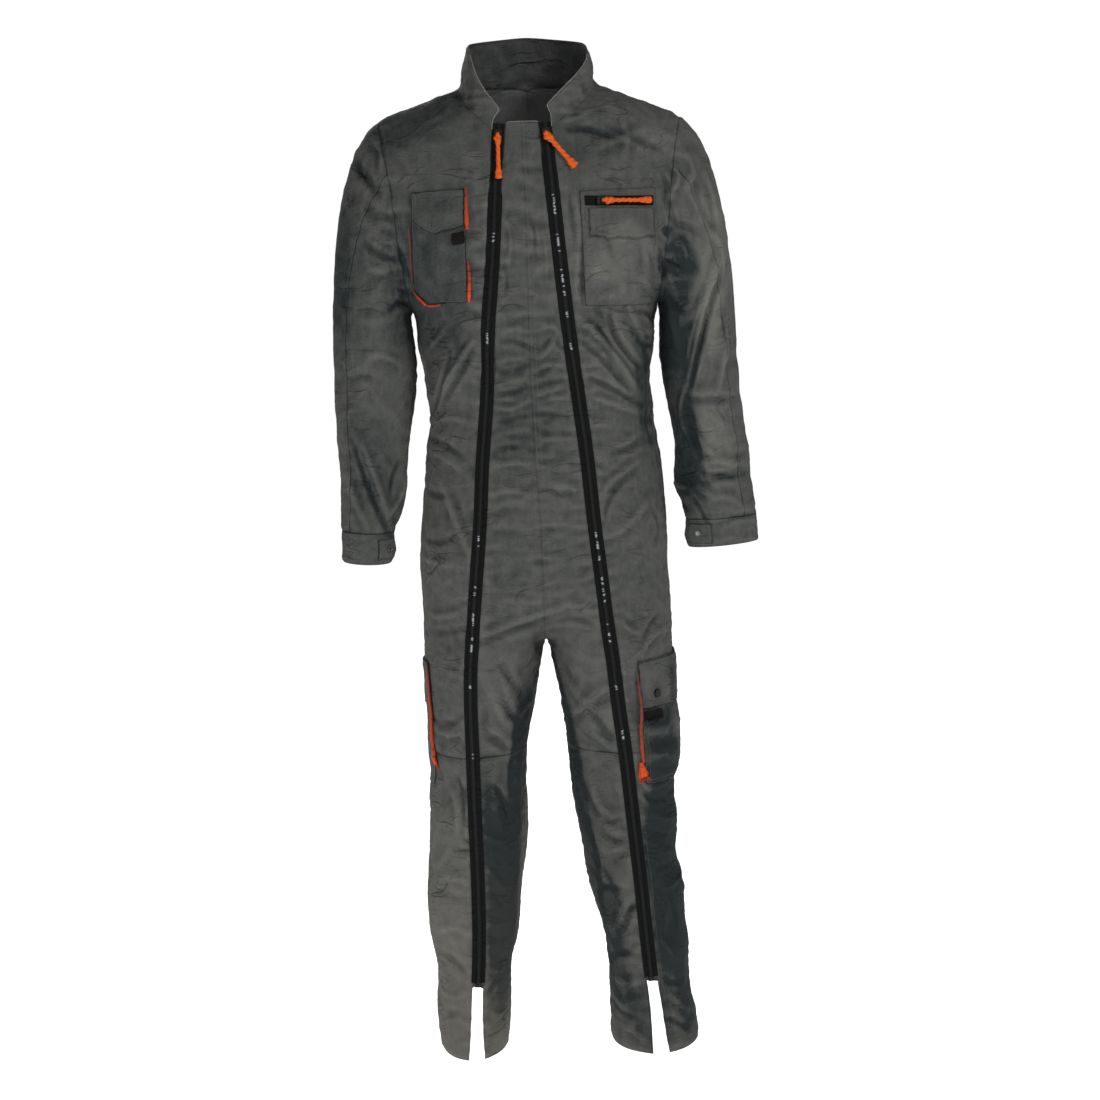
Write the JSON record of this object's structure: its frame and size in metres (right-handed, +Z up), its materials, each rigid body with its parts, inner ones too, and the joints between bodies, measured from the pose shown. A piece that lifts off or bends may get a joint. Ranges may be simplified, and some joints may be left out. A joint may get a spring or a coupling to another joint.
{
  "type": "boiler suit",
  "caption": "Hollow, filled-out work coverall with a stand collar, long sleeves, patch pockets, piping and full-length front zips ending in slits at the hems.",
  "frame": {"origin": "between the shoulders, level with the side of the neck, where the wearer's shoulders hold the suit up", "axes": "+Z up the wearer's back, +X to the wearer's left, -Y out of the front"},
  "size_m": [0.642, 0.2674, 1.5756],
  "materials": {
    "twill": "matt charcoal-grey workwear twill",
    "piping": "matt orange woven piping",
    "zip_tape": "black zip tape with moulded teeth",
    "slider": "black lacquer",
    "pull": "orange cord and moulded grip",
    "tag": "dark brown woven tape, bare",
    "stud": "dull nickel",
    "dark_stud": "black oxide"
  },
  "bodies": {
    "suit": {"back_leg_left": "twill", "back_leg_right": "twill", "back_upper_left": "twill", "back_upper_right": "twill", "chest_flap_left": "twill", "chest_flap_right": "twill", "chest_pocket_left": "twill", "chest_pocket_right": "twill", "chest_tag_right": "tag", "chest_zip": "zip_tape", "collar": "twill", "cuff_left": "twill", "cuff_right": "twill", "cuff_stud_left": "stud", "cuff_stud_right": "stud", "cuff_tab_left": "twill", "cuff_tab_right": "twill", "front_inner_left": "twill", "front_inner_right": "twill", "front_outer_left": "twill", "front_outer_right": "twill", "lower_leg_inner_left": "twill", "lower_leg_inner_right": "twill", "lower_leg_outer_left": "twill", "lower_leg_outer_right": "twill", "piping_corner": "piping", "piping_edge": "piping", "piping_end_left": "piping", "piping_end_right": "piping", "piping_foot": "piping", "piping_lower": "piping", "piping_thigh_left": "piping", "piping_thigh_right": "piping", "piping_upper": "piping", "slider_chest": "slider", "slider_left": "slider", "slider_right": "slider", "thigh_flap_left": "twill", "thigh_flap_right": "twill", "thigh_pocket_left": "twill", "thigh_pocket_right": "twill", "thigh_stud_left": "dark_stud", "thigh_tag_left": "tag", "under_sleeve_left": "twill", "under_sleeve_right": "twill", "upper_sleeve_left": "twill", "upper_sleeve_right": "twill", "zip_left": "zip_tape", "zip_right": "zip_tape", "zip_stop_left": "slider", "zip_stop_right": "slider"},
    "pull_right": {"pull_right": "pull"},
    "pull_left": {"pull_left": "pull"},
    "pull_chest": {"pull_chest": "pull"}
  },
  "joints": [
    {"name": "pull_right_hinge", "type": "hinge", "parent": "suit", "child": "pull_right", "pos_m": [-0.04503, -0.10895, -0.07625], "axis": [-0.9939, 0.087, 0.0678], "range_deg": [0, 120]},
    {"name": "pull_left_hinge", "type": "hinge", "parent": "suit", "child": "pull_left", "pos_m": [0.02566, -0.10911, -0.07644], "axis": [-0.996, -0.0698, -0.055], "range_deg": [0, 120]},
    {"name": "pull_chest_hinge", "type": "hinge", "parent": "suit", "child": "pull_chest", "pos_m": [0.10501, -0.12296, -0.17713], "axis": [0, -0.1196, -0.9928], "range_deg": [0, 120]}
  ]
}
